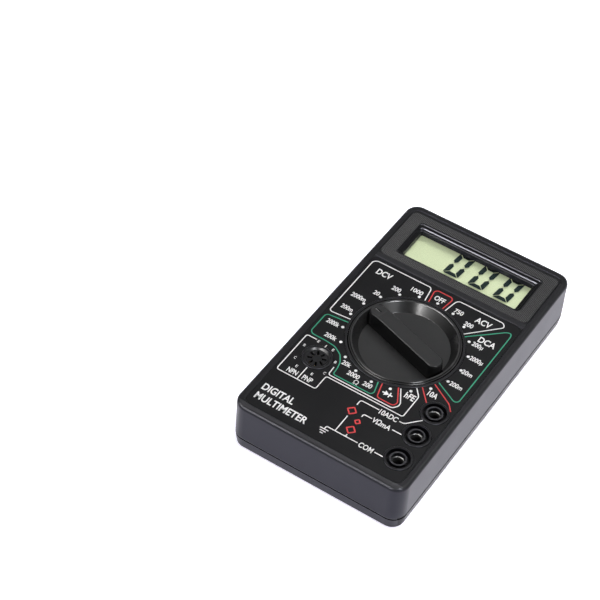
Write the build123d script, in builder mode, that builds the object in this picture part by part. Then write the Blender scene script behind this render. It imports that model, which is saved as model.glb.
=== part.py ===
from build123d import *

import os
from math import asin, cos, degrees, radians, sin

os.makedirs("parts", exist_ok=True)

# Pocket digital multimeter lying on its back, millimetres.
# Origin: centre of the flat rear face. +X right and +Y towards the display, both seen from the
# front. +Z points out of the front face.

# ---------------------------------------------------------------- driving dimensions
# Case: a deep front shell over a shallow rear shell
case_width = 71.0
case_length = 126.0
case_corner = 5.5
wall = 2.0
floor_thickness = 1.8
seam_z = 5.1
seam_gap = 0.55
front_rim_z = seam_z + seam_gap
lip_z = 22.5
face_z = 22.2
plate_back_z = 20.0
lip_width = 3.0
lip_rounding = 1.3
collar_z = 22.55
collar_rounding = 0.25
front_draft = 0.6
rear_draft = 7.0
rear_rounding = 0.9
lip_slope = 25.0
loose = 0.1

# Printed label in its own shallow recess
label_thickness = 0.25
label_floor_z = face_z - label_thickness
label_width = 64.4
label_bottom_y = -59.7
label_top_y = 28.7
label_corner = 2.6

# Display window and glass
panel_width = 64.4
panel_bottom_y = 31.5
panel_top_y = 58.7
panel_height = 0.15
panel_z = face_z + panel_height
window_half_width = 26.8
window_bottom_y = 35.5
window_top_ys = (54.4, 52.95, 51.92, 51.67)
window_side_inset = 2.2
window_bottom_inset = 1.1
window_drops = (0.25, 0.45, 0.25)
glass_width = 52.5
glass_length = 24.0
glass_y = 44.6
glass_thickness = 1.8
glass_rest_z = 19.15
glass_top_z = glass_rest_z - 0.05
glass_floor_z = glass_top_z - glass_thickness

# Circuit board, component side facing the rear shell
board_top_z = 15.0
board_thickness = 1.6
board_back_z = board_top_z - board_thickness

# Selector knob, twenty positions
dial_y = -2.2
positions = 20
dial_opening_radius = 21.3
dial_collar_radius = 22.3
knob_radius = 21.0
knob_rim_radius = 20.4
knob_rim_z = 23.1
knob_step_z = 22.65
knob_bowl_radius = 19.5
knob_floor_radius = 17.0
knob_floor_z = 19.5
knob_flange_radius = 24.4
knob_flange_top_z = 19.7
knob_flange_back_z = 17.8
grip_length = 37.0
grip_width = 7.2
grip_top_z = 26.2
grip_draft = 4.0
grip_angle = 162.0
grip_slope_start = 12.0
grip_slope_angle = 9.0
grip_bend_radius = 6.0
pivot_radius = 1.95

# Detent: two sprung balls in the knob's flange, dents in the back of the face plate
ball_radius = 1.1
ball_circle = 22.6
ball_seat_radius = 1.2
ball_z = plate_back_z - 0.05 - ball_radius
ball_lift = 0.3
spring_floor_z = 16.2
ball_angles = {"a": 0.0, "b": 180.0}

# Input jacks for 4 mm plugs
jack_x = 26.0
jack_pitch = 12.45
jack_top_y = -25.2
jack_collar_radius = 5.3
jack_groove_radius = 4.4
jack_tube_radius = 3.15
jack_mouth_radius = 2.55
jack_bore_radius = 2.05
jack_sleeve_radius = 2.9
jack_sleeve_bottom_z = 5.5
jack_sleeve_top_z = 19.9
jack_flange_radius = 3.9
jack_flange_thickness = 1.0
jack_ys = [jack_top_y - jack_pitch * i for i in range(3)]
jack_names = ["input_jack_current", "input_jack_voltage", "input_jack_common"]

# Transistor test socket
socket_x = -22.1
socket_y = -27.5
socket_radius = 4.9
socket_collar_radius = 5.8
socket_face_radius = 4.15
socket_face_z = 21.7
socket_rim_z = 22.4
socket_slots = 8
slot_inner = 1.7
slot_outer = 3.6
slot_width = 0.9

# 9 V battery
battery_x_min = -32.2
battery_body_length = 46.0
battery_y_max = -33.6
battery_width = 26.5
battery_depth = 17.5
battery_z = 2.0
battery_corner = 2.2
battery_x = battery_x_min + battery_body_length / 2
battery_y = battery_y_max - battery_width / 2
battery_end_x = battery_x_min + battery_body_length
terminal_height = 2.5
terminal_offset = 6.35

# Screws
case_screw_x = 30.0
case_screw_y = -14.0
case_boss_radius = 3.2
case_boss_z = 7.0
case_screw_points = [(-case_screw_x, case_screw_y), (case_screw_x, case_screw_y)]
case_screw_head_z = 3.0
board_screw_points = [(-29.5, 27.5), (29.5, 27.5), (8.0, -30.5)]
board_post_radius = 2.5
board_pilot_radius = 1.0
board_pilot_depth = 4.0
case_pilot_radius = 1.35
case_pilot_depth = 10.0


# ---------------------------------------------------------------- front case
face_length = case_length - 2 * lip_width
jack_points = [(jack_x, y) for y in jack_ys]
label_y = (label_top_y + label_bottom_y) / 2
label_length = label_top_y - label_bottom_y
panel_y = (panel_top_y + panel_bottom_y) / 2
panel_length = panel_top_y - panel_bottom_y
ridge_y = 29.2
ridge_width = 0.6
pocket_wall = 1.6
jack_boss_z = 17.5
jack_seat_z = jack_sleeve_top_z + loose
jack_groove_z = 20.3
jack_tube_top_z = 22.3
dent_radius = 1.2
dent_length = 2.2
dent_axis_z = plate_back_z - 0.75
rib_gap = 0.3
rib_thickness = 1.2
window_corner = 1.3
opening_corner = 0.7


def window_size(step):
    """Width, length and centre of the window's outline, from the panel (0) to the glass (3)."""
    share = step / len(window_drops)
    width = 2 * (window_half_width - window_side_inset * share)
    bottom_y = window_bottom_y + window_bottom_inset * share
    top_y = window_top_ys[step]
    return width, top_y - bottom_y, (bottom_y + top_y) / 2


with BuildPart() as front_case:
    with BuildSketch(Plane.XY.offset(front_rim_z)):
        RectangleRounded(case_width, case_length, case_corner)
    extrude(amount=lip_z - front_rim_z, taper=front_draft)
    fillet(front_case.faces().sort_by(Axis.Z)[-1].edges(), lip_rounding)
    with BuildSketch(Plane.XY.offset(front_rim_z)):
        RectangleRounded(case_width - 2 * wall, case_length - 2 * wall, case_corner - wall)
    extrude(amount=plate_back_z - front_rim_z, mode=Mode.SUBTRACT)
    # the face lies below the lip, inside a sloping edge
    with BuildSketch(Plane.XY.offset(face_z)):
        RectangleRounded(case_width - 2 * lip_width, face_length, label_corner)
    extrude(amount=lip_z - face_z, taper=-lip_slope, mode=Mode.SUBTRACT)
    # recess for the label, raised panel round the display, ridge between them
    with BuildSketch(Plane.XY.offset(label_floor_z)):
        with Locations((0, label_y)):
            RectangleRounded(label_width + 2 * loose, label_length + 2 * loose, label_corner)
    extrude(amount=lip_z - label_floor_z, mode=Mode.SUBTRACT)
    with BuildSketch(Plane.XY.offset(face_z)):
        with Locations((0, panel_y)):
            RectangleRounded(panel_width, panel_length, label_corner)
        with Locations((0, ridge_y)):
            Rectangle(panel_width, ridge_width)
    extrude(amount=panel_height)
    # collars round the dial, the jacks and the transistor socket
    with BuildSketch(Plane.XY.offset(plate_back_z)):
        with Locations((0, dial_y)):
            Circle(dial_collar_radius)
        with Locations((socket_x, socket_y)):
            Circle(socket_collar_radius)
    extrude(amount=collar_z - plate_back_z)
    with BuildSketch(Plane.XY.offset(jack_boss_z)):
        with Locations(*jack_points):
            Circle(jack_collar_radius)
    extrude(amount=collar_z - jack_boss_z)
    collar_edges = front_case.edges().filter_by_position(Axis.Z, collar_z - 0.01, collar_z + 0.01)
    fillet(collar_edges, collar_rounding)
    # pocket that holds the glass below the plate
    with BuildSketch(Plane.XY.offset(glass_floor_z)):
        with Locations((0, glass_y)):
            Rectangle(glass_width + 2 * pocket_wall, glass_length + 2 * pocket_wall)
    extrude(amount=plate_back_z - glass_floor_z)
    with BuildSketch(Plane.XY.offset(glass_floor_z)):
        with Locations((0, glass_y)):
            Rectangle(glass_width + 3 * loose, glass_length + 3 * loose)
    extrude(amount=glass_rest_z - glass_floor_z, mode=Mode.SUBTRACT)
    # window: three shallow steps with 45 degree risers, then a straight-sided opening
    step_z = panel_z
    for step, drop in enumerate(window_drops):
        width, length, centre_y = window_size(step)
        step_z -= drop
        with BuildSketch(Plane.XY.offset(step_z)):
            with Locations((0, centre_y)):
                RectangleRounded(width - 2 * drop, length - 2 * drop, window_corner)
        extrude(amount=drop, taper=-45, mode=Mode.SUBTRACT)
    width, length, centre_y = window_size(len(window_drops))
    with BuildSketch(Plane.XY.offset(glass_rest_z)):
        with Locations((0, centre_y)):
            RectangleRounded(width, length, opening_corner)
    extrude(amount=step_z - glass_rest_z, mode=Mode.SUBTRACT)
    # jack mouths: groove, tube and bore above the seat of each sleeve
    with BuildSketch(Plane.XY.offset(jack_groove_z)):
        with Locations(*jack_points):
            Circle(jack_groove_radius)
            Circle(jack_tube_radius, mode=Mode.SUBTRACT)
    extrude(amount=collar_z - jack_groove_z, mode=Mode.SUBTRACT)
    with BuildSketch(Plane.XY.offset(jack_tube_top_z)):
        with Locations(*jack_points):
            Circle(jack_groove_radius)
    extrude(amount=collar_z - jack_tube_top_z, mode=Mode.SUBTRACT)
    with BuildSketch(Plane.XY.offset(jack_boss_z)):
        with Locations(*jack_points):
            Circle(jack_mouth_radius)
    extrude(amount=collar_z - jack_boss_z, mode=Mode.SUBTRACT)
    with BuildSketch(Plane.XY.offset(jack_boss_z)):
        with Locations(*jack_points):
            Circle(jack_sleeve_radius + loose)
    extrude(amount=jack_seat_z - jack_boss_z, mode=Mode.SUBTRACT)
    # openings for the knob and the transistor socket
    with BuildSketch(Plane.XY.offset(plate_back_z)):
        with Locations((0, dial_y)):
            Circle(dial_opening_radius)
        with Locations((socket_x, socket_y)):
            Circle(socket_radius + loose)
    extrude(amount=collar_z - plate_back_z, mode=Mode.SUBTRACT)
    # rib that guides the knob's flange
    with BuildSketch(Plane.XY.offset(knob_flange_back_z)):
        with Locations((0, dial_y)):
            Circle(knob_flange_radius + rib_gap + rib_thickness)
            Circle(knob_flange_radius + rib_gap, mode=Mode.SUBTRACT)
    extrude(amount=plate_back_z - knob_flange_back_z)
    # posts for the board and bosses for the case screws
    with BuildSketch(Plane.XY.offset(board_top_z)):
        with Locations(*board_screw_points):
            Circle(board_post_radius)
    extrude(amount=plate_back_z - board_top_z)
    with BuildSketch(Plane.XY.offset(case_boss_z)):
        with Locations(*case_screw_points):
            Circle(case_boss_radius)
    extrude(amount=plate_back_z - case_boss_z)
    with BuildSketch(Plane.XY.offset(board_top_z)):
        with Locations(*board_screw_points):
            Circle(board_pilot_radius)
    extrude(amount=board_pilot_depth, mode=Mode.SUBTRACT)
    with BuildSketch(Plane.XY.offset(case_boss_z)):
        with Locations(*case_screw_points):
            Circle(case_pilot_radius)
    extrude(amount=case_pilot_depth, mode=Mode.SUBTRACT)
    # dents for the detent balls
    with Locations((0, dial_y, dent_axis_z)):
        with PolarLocations(ball_circle, positions):
            Cylinder(dent_radius, dent_length, rotation=(0, 90, 0), mode=Mode.SUBTRACT)
front_case.part.label = "front_case"
export_step(front_case.part, "parts/front_case.step")

# ---------------------------------------------------------------- rear case
tongue_height = 1.5
tongue_thickness = 0.7
tongue_width = case_width - 2 * wall - loose
tongue_length = case_length - 2 * wall - loose
tongue_inner_width = tongue_width - 2 * tongue_thickness
tongue_inner_length = tongue_length - 2 * tongue_thickness
tongue_corner = case_corner - wall
tongue_root_depth = 1.2
tongue_root_growth = 1.0
rear_panel_width = 44.0
rear_panel_length = 58.0
rear_panel_y = 18.0
rear_panel_corner = 3.0
rear_panel_depth = 0.3
rear_boss_radius = 3.2
battery_rib_length = 30.0
battery_rib_thickness = 1.2
battery_rib_height = 6.0
screw_recess_radius = 2.7
screw_hole_radius = 1.65
tongue_steps = (
    (seam_z - tongue_root_depth, seam_z, tongue_root_growth),
    (seam_z, seam_z + tongue_height, 0),
)

with BuildPart() as rear_case:
    with BuildSketch(Plane.XY.offset(seam_z)):
        RectangleRounded(case_width, case_length, case_corner)
    extrude(amount=-seam_z, taper=rear_draft)
    fillet(rear_case.faces().sort_by(Axis.Z)[0].edges(), rear_rounding)
    with BuildSketch(Plane.XY.offset(floor_thickness)):
        RectangleRounded(case_width - 2 * wall, case_length - 2 * wall, case_corner - wall)
    extrude(amount=seam_z - floor_thickness, mode=Mode.SUBTRACT)
    # tongue that fits inside the front shell, on a wider root below the seam
    for bottom_z, top_z, growth in tongue_steps:
        with BuildSketch(Plane.XY.offset(bottom_z)):
            RectangleRounded(tongue_width + growth, tongue_length + growth, tongue_corner)
            Rectangle(tongue_inner_width, tongue_inner_length, mode=Mode.SUBTRACT)
        extrude(amount=top_z - bottom_z)
    with BuildSketch(Plane.XY.offset(floor_thickness)):
        with Locations(*case_screw_points):
            Circle(rear_boss_radius)
    extrude(amount=case_boss_z - loose - floor_thickness)
    # rib beside the battery
    with BuildSketch(Plane.XY.offset(floor_thickness)):
        with Locations((battery_x, battery_y_max + battery_rib_thickness)):
            Rectangle(battery_rib_length, battery_rib_thickness)
    extrude(amount=battery_rib_height)
    # shallow panel in the rear face
    with BuildSketch(Plane.XY):
        with Locations((0, rear_panel_y)):
            RectangleRounded(rear_panel_width, rear_panel_length, rear_panel_corner)
    extrude(amount=rear_panel_depth, mode=Mode.SUBTRACT)
    # screw holes, each with a deep round recess for its head
    with BuildSketch(Plane.XY):
        with Locations(*case_screw_points):
            Circle(screw_recess_radius)
    extrude(amount=case_screw_head_z, mode=Mode.SUBTRACT)
    with BuildSketch(Plane.XY):
        with Locations(*case_screw_points):
            Circle(screw_hole_radius)
    extrude(amount=case_boss_z, mode=Mode.SUBTRACT)
rear_case.part.label = "rear_case"
export_step(rear_case.part, "parts/rear_case.step")

# ---------------------------------------------------------------- printed label on the face
with BuildPart() as face_label:
    with BuildSketch(Plane.XY.offset(label_floor_z)):
        with Locations((0, label_y)):
            RectangleRounded(label_width, label_length, label_corner)
        with Locations((0, dial_y)):
            Circle(dial_collar_radius + loose, mode=Mode.SUBTRACT)
        with Locations((socket_x, socket_y)):
            Circle(socket_collar_radius + loose, mode=Mode.SUBTRACT)
        with Locations(*jack_points):
            Circle(jack_collar_radius + loose, mode=Mode.SUBTRACT)
    extrude(amount=label_thickness)
face_label.part.label = "face_label"
export_step(face_label.part, "parts/face_label.step")

# ---------------------------------------------------------------- display
ledge = 3.4
reflector_thickness = 0.3
reflector_length = glass_length - ledge
zebra_width = 48.0
zebra_thickness = 2.0
zebra_y = glass_y - glass_length / 2 + ledge / 2
zebra_rounding = 0.4
glass_chamfer = 0.5
reflector_margin = 0.3

with BuildPart() as lcd_glass:
    with BuildSketch(Plane.XY.offset(glass_floor_z)):
        with Locations((0, glass_y)):
            Rectangle(glass_width, glass_length)
    extrude(amount=glass_thickness)
    chamfer(lcd_glass.edges().filter_by(Axis.Z), glass_chamfer)
lcd_glass.part.label = "lcd_glass"
export_step(lcd_glass.part, "parts/lcd_glass.step")

with BuildPart() as lcd_reflector:
    with BuildSketch(Plane.XY.offset(glass_floor_z - reflector_thickness)):
        with Locations((0, glass_y + ledge / 2)):
            Rectangle(glass_width - 2 * reflector_margin, reflector_length - reflector_margin)
    extrude(amount=reflector_thickness)
lcd_reflector.part.label = "lcd_reflector"
export_step(lcd_reflector.part, "parts/lcd_reflector.step")

# conductive rubber strip from the board to the glass ledge
with BuildPart() as zebra_strip:
    with BuildSketch(Plane.XY.offset(board_top_z)):
        with Locations((0, zebra_y)):
            Rectangle(zebra_width, zebra_thickness)
    extrude(amount=glass_floor_z - board_top_z)
    fillet(zebra_strip.edges().filter_by(Axis.Z), zebra_rounding)
zebra_strip.part.label = "zebra_strip"
export_step(zebra_strip.part, "parts/zebra_strip.step")

# ---------------------------------------------------------------- circuit board
board_width = 66.0
board_length = 120.0
notch_x_max = 18.6
notch_y_max = -33.0
board_corner = 2.5
notch_width = 60.0
notch_length = 40.0
boss_notch = case_boss_radius + 0.4
side_notch_width = 6.0
board_screw_clearance = 1.4
pivot_clearance = 0.06
shunt_hole_radius = 0.85
shunt_x = 19.7
shunt_ends_y = (jack_top_y - 4.0, jack_ys[2] + 4.0)

with BuildPart() as circuit_board:
    with BuildSketch(Plane.XY.offset(board_back_z)):
        RectangleRounded(board_width, board_length, board_corner)
        # room for the battery, the screw bosses and the parts that pass through
        with Locations((notch_x_max, notch_y_max)):
            Rectangle(notch_width, notch_length, align=(Align.MAX, Align.MAX), mode=Mode.SUBTRACT)
        with Locations(*case_screw_points):
            Circle(boss_notch, mode=Mode.SUBTRACT)
        with Locations((-board_width / 2, case_screw_y), (board_width / 2, case_screw_y)):
            Rectangle(side_notch_width, 2 * boss_notch, mode=Mode.SUBTRACT)
        with Locations(*jack_points):
            Circle(jack_sleeve_radius + loose / 2, mode=Mode.SUBTRACT)
        with Locations(*board_screw_points):
            Circle(board_screw_clearance, mode=Mode.SUBTRACT)
        with Locations((0, dial_y)):
            Circle(pivot_radius + pivot_clearance, mode=Mode.SUBTRACT)
        with Locations(*[(shunt_x, y) for y in shunt_ends_y]):
            Circle(shunt_hole_radius, mode=Mode.SUBTRACT)
    extrude(amount=board_thickness)
circuit_board.part.label = "circuit_board"
export_step(circuit_board.part, "parts/circuit_board.step")

# gold-plated switch pads that the knob's contacts slide over
track_height = 0.1
ring_radii = (9.8, 7.4, 5.0)
ring_half_width = 0.6
pad_width = 1.8
pad_inner = 12.0
pad_outer = 15.5

with BuildPart() as switch_tracks:
    with BuildSketch(Plane.XY.offset(board_top_z)):
        with Locations((0, dial_y)):
            for radius in ring_radii:
                Circle(radius + ring_half_width)
                Circle(radius - ring_half_width, mode=Mode.SUBTRACT)
            with PolarLocations((pad_inner + pad_outer) / 2, positions):
                Rectangle(pad_outer - pad_inner, pad_width)
    extrude(amount=track_height)
switch_tracks.part.label = "switch_tracks"
export_step(switch_tracks.part, "parts/switch_tracks.step")

# ---------------------------------------------------------------- selector knob
mark_radius = 15.6
mark_length = 3.2
mark_width = 0.7
knob_edge = 0.2
grip_rounding = 0.7
hollow_x = 10.5
hollow_length = 13.0
hollow_width = 3.0
hollow_roof = 2.0
pivot_end_z = board_back_z - 0.6
ball_boss_radius = 1.9
ball_boss_z = 15.6
grip_plane = Plane(
    origin=(0, dial_y, 0),
    x_dir=(cos(radians(grip_angle)), sin(radians(grip_angle)), 0),
    z_dir=(sin(radians(grip_angle)), -cos(radians(grip_angle)), 0),
)

with BuildPart() as selector_knob:
    with BuildSketch(Plane.XZ.offset(-dial_y)):
        with BuildLine():
            Polyline(
                (0, knob_flange_back_z),
                (knob_flange_radius, knob_flange_back_z),
                (knob_flange_radius, knob_flange_top_z),
                (knob_radius, knob_flange_top_z),
                (knob_radius, knob_step_z - knob_edge),
                (knob_radius - knob_edge, knob_step_z),
                (knob_rim_radius, knob_step_z),
                (knob_rim_radius, knob_rim_z - knob_edge),
                (knob_rim_radius - knob_edge, knob_rim_z),
                (knob_bowl_radius + knob_edge / 2, knob_rim_z),
                (knob_bowl_radius, knob_rim_z - knob_edge / 2),
                (knob_floor_radius, knob_floor_z),
                (0, knob_floor_z),
                close=True,
            )
        make_face()
    revolve(axis=Axis((0, dial_y, 0), (0, 0, 1)))
    # grip bar across the bowl, hollow from below
    with BuildSketch(Plane.XY.offset(knob_floor_z - 0.5)):
        with Locations(Location((0, dial_y, 0), (0, 0, grip_angle))):
            SlotOverall(grip_length + 1.0, grip_width)
    extrude(amount=grip_top_z - knob_floor_z + 0.5, taper=grip_draft)
    # the pointer end of the grip slopes down towards the rim
    with BuildSketch(grip_plane):
        with BuildLine():
            bend = JernArc(
                start=(grip_slope_start, grip_top_z),
                tangent=(1, 0),
                radius=grip_bend_radius,
                arc_size=-grip_slope_angle,
            )
            slope = PolarLine(start=bend @ 1, length=8.0, angle=-grip_slope_angle)
            end_x = (slope @ 1).X
            Polyline(
                slope @ 1,
                (end_x, grip_top_z + 1),
                (grip_slope_start, grip_top_z + 1),
                (grip_slope_start, grip_top_z),
            )
        make_face()
    extrude(amount=grip_width, both=True, mode=Mode.SUBTRACT)
    grip_edges = selector_knob.edges().filter_by_position(Axis.Z, grip_top_z - 1.5, grip_top_z + 0.1)
    fillet(grip_edges, grip_rounding)
    with BuildSketch(Plane.XY.offset(knob_flange_back_z)):
        with Locations(Location((0, dial_y, 0), (0, 0, grip_angle))):
            with Locations((hollow_x, 0), (-hollow_x, 0)):
                SlotOverall(hollow_length, hollow_width)
    extrude(amount=grip_top_z - hollow_roof - knob_flange_back_z, mode=Mode.SUBTRACT)
    # pointer groove on the slope
    with BuildSketch(Plane.XY.offset(grip_top_z - 1.0)):
        with Locations(Location((0, dial_y, 0), (0, 0, grip_angle))):
            with Locations((mark_radius, 0)):
                SlotOverall(mark_length, mark_width)
    extrude(amount=2.0, mode=Mode.SUBTRACT)
    # pivot pin, and blind pockets for the detent springs and balls
    with BuildSketch(Plane.XY.offset(knob_flange_back_z)):
        with Locations((0, dial_y)):
            Circle(pivot_radius)
    extrude(amount=pivot_end_z - knob_flange_back_z)
    with BuildSketch(Plane.XY.offset(ball_boss_z)):
        with Locations((0, dial_y)):
            with PolarLocations(ball_circle - 0.2, len(ball_angles)):
                Circle(ball_boss_radius)
    extrude(amount=knob_flange_back_z - ball_boss_z)
    with BuildSketch(Plane.XY.offset(spring_floor_z)):
        with Locations((0, dial_y)):
            with PolarLocations(ball_circle, len(ball_angles)):
                Circle(ball_seat_radius)
    extrude(amount=knob_floor_z + 1 - spring_floor_z, mode=Mode.SUBTRACT)
selector_knob.part.label = "selector_knob"
export_step(selector_knob.part, "parts/selector_knob.step")

# six leaf contacts under the knob, each a shallow V that rides on the pads
leaf_width = 1.6
leaf_thickness = 0.2
leaf_span = 6.0
leaf_foot = 0.6
leaf_tip = 0.5
leaf_tip_z = board_top_z + track_height + 0.05
leaf_spots = [(6.2, 20), (6.2, 200), (8.6, 110), (12.6, 60), (12.6, 180), (12.6, 300)]
leaf_rise = knob_flange_back_z - leaf_tip_z

with BuildPart() as knob_contacts:
    for radius, angle in leaf_spots:
        turn = radians(angle)
        leaf_plane = Plane(
            origin=(radius * cos(turn), dial_y + radius * sin(turn), leaf_tip_z),
            x_dir=(-sin(turn), cos(turn), 0),
            z_dir=(cos(turn), sin(turn), 0),
        )
        with BuildSketch(leaf_plane):
            with BuildLine():
                Polyline(
                    (-leaf_span / 2, leaf_rise),
                    (-leaf_span / 2, leaf_rise - leaf_thickness),
                    (-leaf_tip, 0),
                    (leaf_tip, 0),
                    (leaf_span / 2, leaf_rise - leaf_thickness),
                    (leaf_span / 2, leaf_rise),
                    (leaf_span / 2 - leaf_foot, leaf_rise),
                    (leaf_tip - leaf_thickness / 2, leaf_thickness),
                    (leaf_thickness / 2 - leaf_tip, leaf_thickness),
                    (leaf_foot - leaf_span / 2, leaf_rise),
                    close=True,
                )
            make_face()
        extrude(amount=leaf_width / 2, both=True)
knob_contacts.part.label = "knob_contacts"
export_step(knob_contacts.part, "parts/knob_contacts.step")

# ---------------------------------------------------------------- detent balls and springs
spring_wire = 0.22
spring_radius = 0.8
spring_height = ball_z - ball_radius - spring_floor_z - 0.02
spring_turns = 3
spring_pitch = (spring_height - 2 * spring_wire) / spring_turns

for side, angle in ball_angles.items():
    turn = radians(angle)
    ball_x = ball_circle * cos(turn)
    ball_y = dial_y + ball_circle * sin(turn)
    with BuildPart() as detent_ball:
        with Locations((ball_x, ball_y, ball_z)):
            Sphere(ball_radius)
    detent_ball.part.label = f"detent_ball_{side}"
    export_step(detent_ball.part, f"parts/detent_ball_{side}.step")

    coil_start = (ball_x, ball_y, spring_floor_z + spring_wire)
    with BuildPart() as detent_spring:
        with BuildLine():
            coil = Helix(
                pitch=spring_pitch,
                height=spring_pitch * spring_turns,
                radius=spring_radius,
                center=coil_start,
            )
        with BuildSketch(Plane(origin=coil @ 0, z_dir=coil % 0)):
            Circle(spring_wire / 2)
        sweep()
    detent_spring.part.label = f"detent_spring_{side}"
    export_step(detent_spring.part, f"parts/detent_spring_{side}.step")

# ---------------------------------------------------------------- transistor test socket
slot_floor_z = 16.2
slot_middle = (slot_inner + slot_outer) / 2
slot_start_angle = 22.5
dish_slope = 40
blade_length = 1.1
blade_thickness = 0.2
blade_height = 4.0

with BuildPart() as transistor_socket:
    with BuildSketch(Plane.XY.offset(board_top_z)):
        with Locations((socket_x, socket_y)):
            Circle(socket_radius)
    extrude(amount=socket_rim_z - board_top_z)
    with BuildSketch(Plane.XY.offset(socket_face_z)):
        with Locations((socket_x, socket_y)):
            Circle(socket_face_radius)
    extrude(amount=socket_rim_z - socket_face_z, taper=-dish_slope, mode=Mode.SUBTRACT)
    with BuildSketch(Plane.XY.offset(slot_floor_z)):
        with Locations((socket_x, socket_y)):
            with PolarLocations(slot_middle, socket_slots, start_angle=slot_start_angle):
                Rectangle(slot_outer - slot_inner, slot_width)
    extrude(amount=socket_face_z - slot_floor_z, mode=Mode.SUBTRACT)
transistor_socket.part.label = "transistor_socket"
export_step(transistor_socket.part, "parts/transistor_socket.step")

with BuildPart() as socket_contacts:
    with BuildSketch(Plane.XY.offset(slot_floor_z)):
        with Locations((socket_x, socket_y)):
            with PolarLocations(slot_middle, socket_slots, start_angle=slot_start_angle):
                with Locations((0, blade_thickness / 2 + 0.02 - slot_width / 2)):
                    Rectangle(blade_length, blade_thickness)
    extrude(amount=blade_height)
socket_contacts.part.label = "socket_contacts"
export_step(socket_contacts.part, "parts/socket_contacts.step")

# ---------------------------------------------------------------- input jack sleeves
for name, y in zip(jack_names, jack_ys):
    with BuildPart() as input_jack:
        with BuildSketch(Plane.XY.offset(jack_sleeve_bottom_z)):
            with Locations((jack_x, y)):
                Circle(jack_sleeve_radius)
        extrude(amount=jack_sleeve_top_z - jack_sleeve_bottom_z)
        with BuildSketch(Plane.XY.offset(board_back_z - jack_flange_thickness)):
            with Locations((jack_x, y)):
                Circle(jack_flange_radius)
        extrude(amount=jack_flange_thickness)
        with BuildSketch(Plane.XY.offset(jack_sleeve_bottom_z)):
            with Locations((jack_x, y)):
                Circle(jack_bore_radius)
        extrude(amount=jack_sleeve_top_z - jack_sleeve_bottom_z, mode=Mode.SUBTRACT)
    input_jack.part.label = name
    export_step(input_jack.part, f"parts/{name}.step")

# thick wire that shunts the current jack to the common jack
shunt_radius = 0.75
shunt_back_z = board_back_z - 5.0
shunt_end_z = board_top_z + 0.6
shunt_bend = 2.0

with BuildPart() as current_shunt:
    with BuildLine() as shunt_path:
        FilletPolyline(
            (shunt_x, shunt_ends_y[0], shunt_end_z),
            (shunt_x, shunt_ends_y[0], shunt_back_z),
            (shunt_x, shunt_ends_y[1], shunt_back_z),
            (shunt_x, shunt_ends_y[1], shunt_end_z),
            radius=shunt_bend,
        )
    with BuildSketch(Plane(origin=shunt_path.line @ 0, z_dir=shunt_path.line % 0)):
        Circle(shunt_radius)
    sweep()
current_shunt.part.label = "current_shunt"
export_step(current_shunt.part, "parts/current_shunt.step")

# ---------------------------------------------------------------- fuse, 5 x 20 mm
fuse_x = -6.0
fuse_y = 33.0
fuse_z = board_back_z - 4.0
fuse_length = 20.0
fuse_cap_length = 5.0
fuse_cap_radius = 2.6
fuse_glass_radius = 2.25
fuse_tube_length = fuse_length - 2.0
fuse_glass_wall = 0.5
fuse_cap_end = 1.0
fuse_wire_radius = 0.12
fuse_end_xs = (
    fuse_x - (fuse_length - fuse_cap_length) / 2,
    fuse_x + (fuse_length - fuse_cap_length) / 2,
)

with BuildPart() as fuse_tube:
    with Locations(Location((fuse_x, fuse_y, fuse_z), (0, 90, 0))):
        Cylinder(fuse_glass_radius, fuse_tube_length)
        Cylinder(fuse_glass_radius - fuse_glass_wall, fuse_tube_length, mode=Mode.SUBTRACT)
fuse_tube.part.label = "fuse_tube"
export_step(fuse_tube.part, "parts/fuse_tube.step")

with BuildPart() as fuse_caps:
    for x, facing in zip(fuse_end_xs, (1, -1)):
        with Locations(Location((x, fuse_y, fuse_z), (0, 90, 0))):
            Cylinder(fuse_cap_radius, fuse_cap_length)
        with Locations(Location((x + facing * fuse_cap_end / 2, fuse_y, fuse_z), (0, 90, 0))):
            Cylinder(fuse_glass_radius, fuse_cap_length - fuse_cap_end, mode=Mode.SUBTRACT)
fuse_caps.part.label = "fuse_caps"
export_step(fuse_caps.part, "parts/fuse_caps.step")

with BuildPart() as fuse_wire:
    with Locations(Location((fuse_x, fuse_y, fuse_z), (0, 90, 0))):
        Cylinder(fuse_wire_radius, fuse_tube_length)
fuse_wire.part.label = "fuse_wire"
export_step(fuse_wire.part, "parts/fuse_wire.step")

# spring clips, open towards the rear shell
clip_wall = 0.4
clip_width = 4.0
clip_radius = fuse_cap_radius + 0.02
clip_foot_width = 2.4
clip_foot_height = 1.2
clip_foot_z = fuse_z + fuse_cap_radius + 0.8
clip_mouth_width = 3.4
clip_mouth_height = 3.2
clip_mouth_z = fuse_z - 3.0

with BuildPart() as fuse_clips:
    for x in fuse_end_xs:
        with BuildSketch(Plane.YZ.offset(x - clip_width / 2)):
            with Locations((fuse_y, fuse_z)):
                Circle(clip_radius + clip_wall)
            with Locations((fuse_y, clip_foot_z)):
                Rectangle(clip_foot_width, clip_foot_height)
            with Locations((fuse_y, fuse_z)):
                Circle(clip_radius, mode=Mode.SUBTRACT)
            with Locations((fuse_y, clip_mouth_z)):
                Rectangle(clip_mouth_width, clip_mouth_height, mode=Mode.SUBTRACT)
        extrude(amount=clip_width)
fuse_clips.part.label = "fuse_clips"
export_step(fuse_clips.part, "parts/fuse_clips.step")

# ---------------------------------------------------------------- 9 V battery, snap and leads
battery_mid_z = battery_z + battery_depth / 2
jacket_thickness = 0.3
terminal_ys = {"plus": battery_y + terminal_offset, "minus": battery_y - terminal_offset}
snap_x = battery_end_x + 0.3
snap_thickness = 3.6
snap_width = 24.0
snap_depth = 12.5
snap_corner = 4.0
snap_rounding = 0.8
snap_pocket_radius = 4.2
snap_pocket_depth = terminal_height - 0.4
plus_radius = 2.8
minus_radius = 4.0
minus_bore_radius = 2.4

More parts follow.
